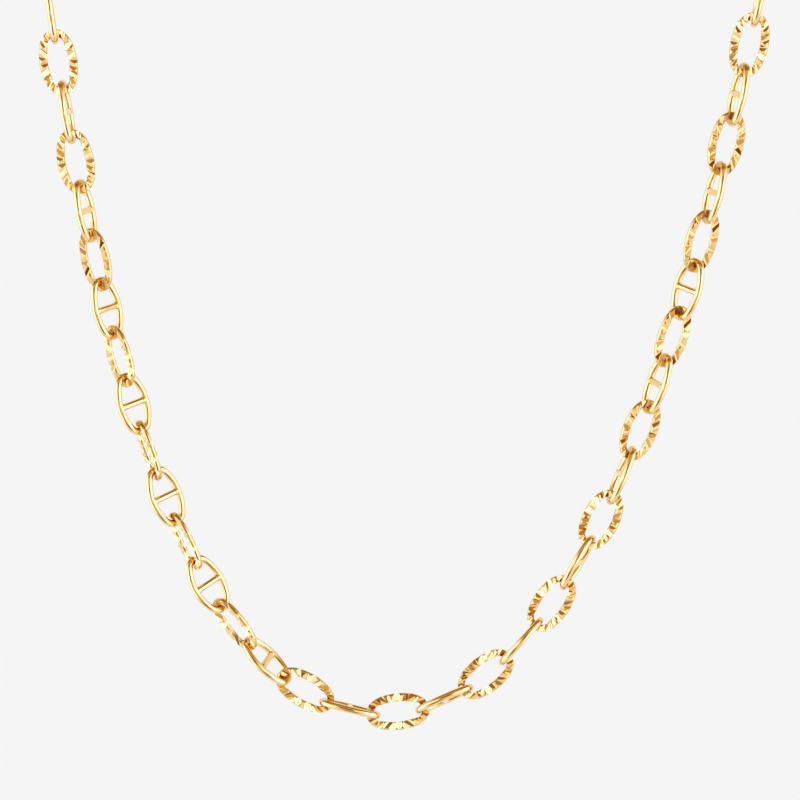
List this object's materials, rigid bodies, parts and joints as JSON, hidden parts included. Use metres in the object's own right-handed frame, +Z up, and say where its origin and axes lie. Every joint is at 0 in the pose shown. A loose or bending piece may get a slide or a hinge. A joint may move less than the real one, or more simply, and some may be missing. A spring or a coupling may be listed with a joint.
{
  "type": "chain necklace",
  "caption": "Chain necklace of oval links: smooth anchor links with a cross bar alternate with diamond-cut links, closed at the nape by a plain clasp.",
  "frame": {"origin": "the middle of the back of the neck, on the chain's line at the clasp, where the necklace hangs on its wearer", "axes": "+X to the right as seen from the front, +Y to the back, +Z up; the front of the chain hangs in one plane that leans back 25 degrees at the top"},
  "size_m": [0.1184, 0.0929, 0.1464],
  "materials": {
    "polished_gold": "polished yellow gold plate on brass, smooth round wire",
    "cut_gold": "polished yellow gold plate on brass, bright flat diamond cuts"
  },
  "bodies": {
    "root": {"anchor_link_01": "polished_gold", "cut_link_01": "cut_gold", "anchor_link_02": "polished_gold", "cut_link_02": "cut_gold", "anchor_link_03": "polished_gold", "cut_link_03": "cut_gold", "anchor_link_04": "polished_gold", "cut_link_04": "cut_gold", "anchor_link_05": "polished_gold", "cut_link_05": "cut_gold", "anchor_link_06": "polished_gold", "cut_link_06": "cut_gold", "anchor_link_07": "polished_gold", "cut_link_07": "cut_gold", "anchor_link_08": "polished_gold", "cut_link_08": "cut_gold", "anchor_link_09": "polished_gold", "cut_link_09": "cut_gold", "anchor_link_10": "polished_gold", "cut_link_10": "cut_gold", "anchor_link_11": "polished_gold", "cut_link_11": "cut_gold", "anchor_link_12": "polished_gold", "cut_link_12": "cut_gold", "anchor_link_13": "polished_gold", "cut_link_13": "cut_gold", "anchor_link_14": "polished_gold", "cut_link_14": "cut_gold", "anchor_link_15": "polished_gold", "cut_link_15": "cut_gold", "anchor_link_16": "polished_gold", "cut_link_16": "cut_gold", "anchor_link_17": "polished_gold", "cut_link_17": "cut_gold", "anchor_link_18": "polished_gold", "back_chain_left": "polished_gold", "back_chain_right": "polished_gold", "jump_ring": "polished_gold", "clasp": "polished_gold", "end_ring": "polished_gold"}
  },
  "joints": []
}
